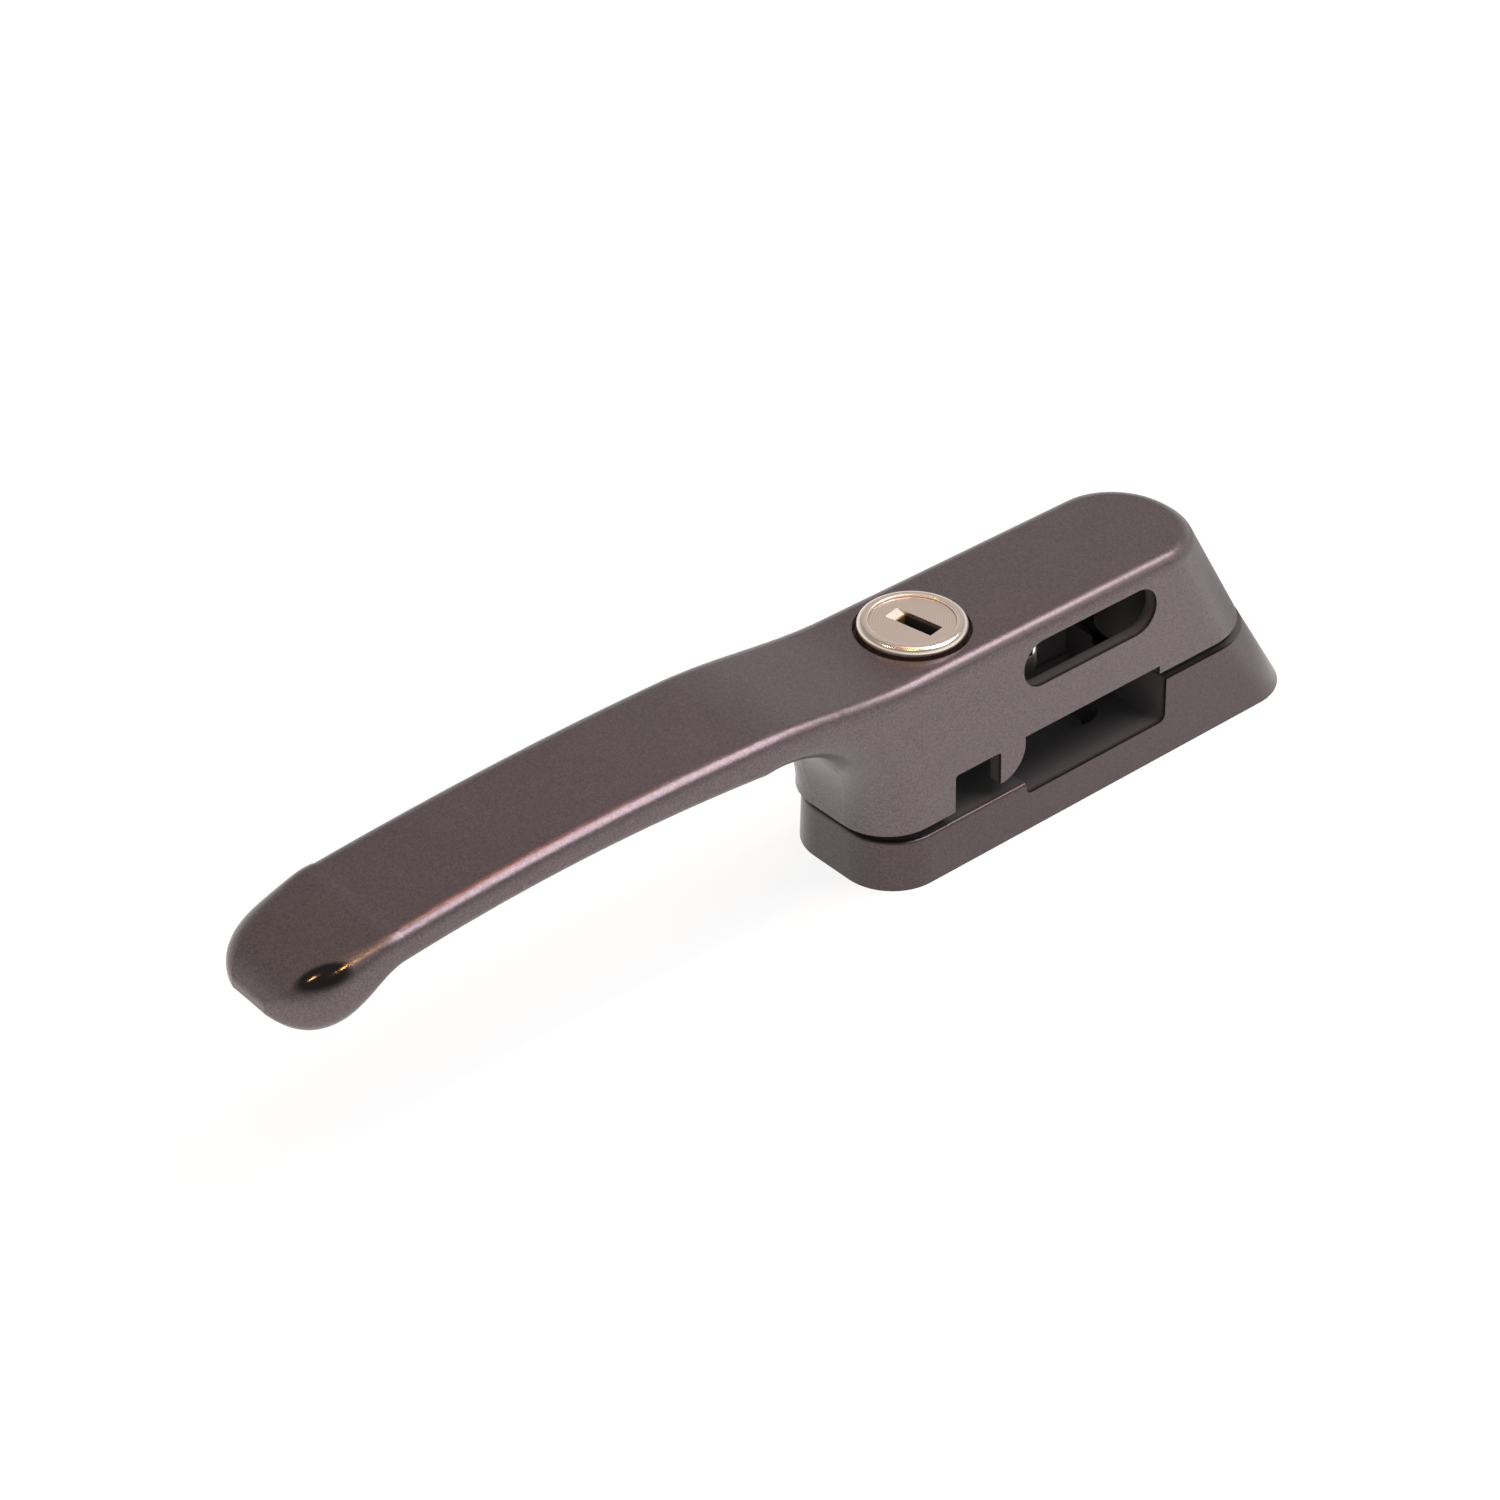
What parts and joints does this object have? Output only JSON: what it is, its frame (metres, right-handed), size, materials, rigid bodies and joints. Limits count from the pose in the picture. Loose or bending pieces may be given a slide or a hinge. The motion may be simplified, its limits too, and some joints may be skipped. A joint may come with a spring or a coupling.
{
  "type": "window sash lock",
  "caption": "Key-locking casement window fastener: a hollow housing with a long drooping lever swings on a stepped base, and a push-in key barrel locks it shut.",
  "frame": {"origin": "centre of the base's underside, the face that lies on the sash, halfway along the base and on its centre line", "axes": "+Z away from the sash; +X along the base towards its sloping rear end, so the lever points along -X when closed; -Y is the open side that takes the frame's striker tongue"},
  "size_m": [0.1595, 0.021, 0.0326],
  "materials": {
    "lacquered_zinc": "satin bronze lacquer on zinc die casting",
    "black_acetal": "moulded, matt",
    "plated_steel": "zinc plated, turned",
    "spring_steel": "drawn and phosphated",
    "nickel_plate": "satin champagne nickel with a polished rim",
    "turned_brass": "turned brass"
  },
  "bodies": {
    "base": {"base_plate": "lacquered_zinc", "keeper_lug": "plated_steel", "pivot_bush": "black_acetal", "bearing_plate": "black_acetal"},
    "handle": {"handle_casting": "lacquered_zinc", "pivot_spindle": "plated_steel", "disc_spring": "spring_steel", "thrust_washer": "plated_steel", "retaining_circlip": "spring_steel", "guide_pin": "plated_steel", "spring_plate": "plated_steel", "plate_circlip": "spring_steel"},
    "barrel": {"barrel_shell": "nickel_plate", "barrel_spring": "spring_steel"},
    "plug": {"lock_plug": "turned_brass", "plug_face_plate": "nickel_plate", "plug_clip": "spring_steel", "wafer_tumblers": "turned_brass", "wafer_springs": "spring_steel", "locking_bolt": "plated_steel"}
  },
  "joints": [
    {"name": "handle_swing", "type": "hinge", "parent": "base", "child": "handle", "pos_m": [0.017, 0, 0.012], "axis": [0, 0, -1], "range_deg": [0, 90]},
    {"name": "barrel_push", "type": "slide", "parent": "handle", "child": "barrel", "axis": [0, 0, -1], "range_m": [0, 0.0032], "stiffness_N_per_m": 500, "springref_m": -0.002, "deforming": ["barrel_spring"]},
    {"name": "key_turn", "type": "hinge", "parent": "barrel", "child": "plug", "pos_m": [-0.0243, 0, 0.025], "axis": [0, 0, -1], "range_deg": [0, 90]}
  ]
}
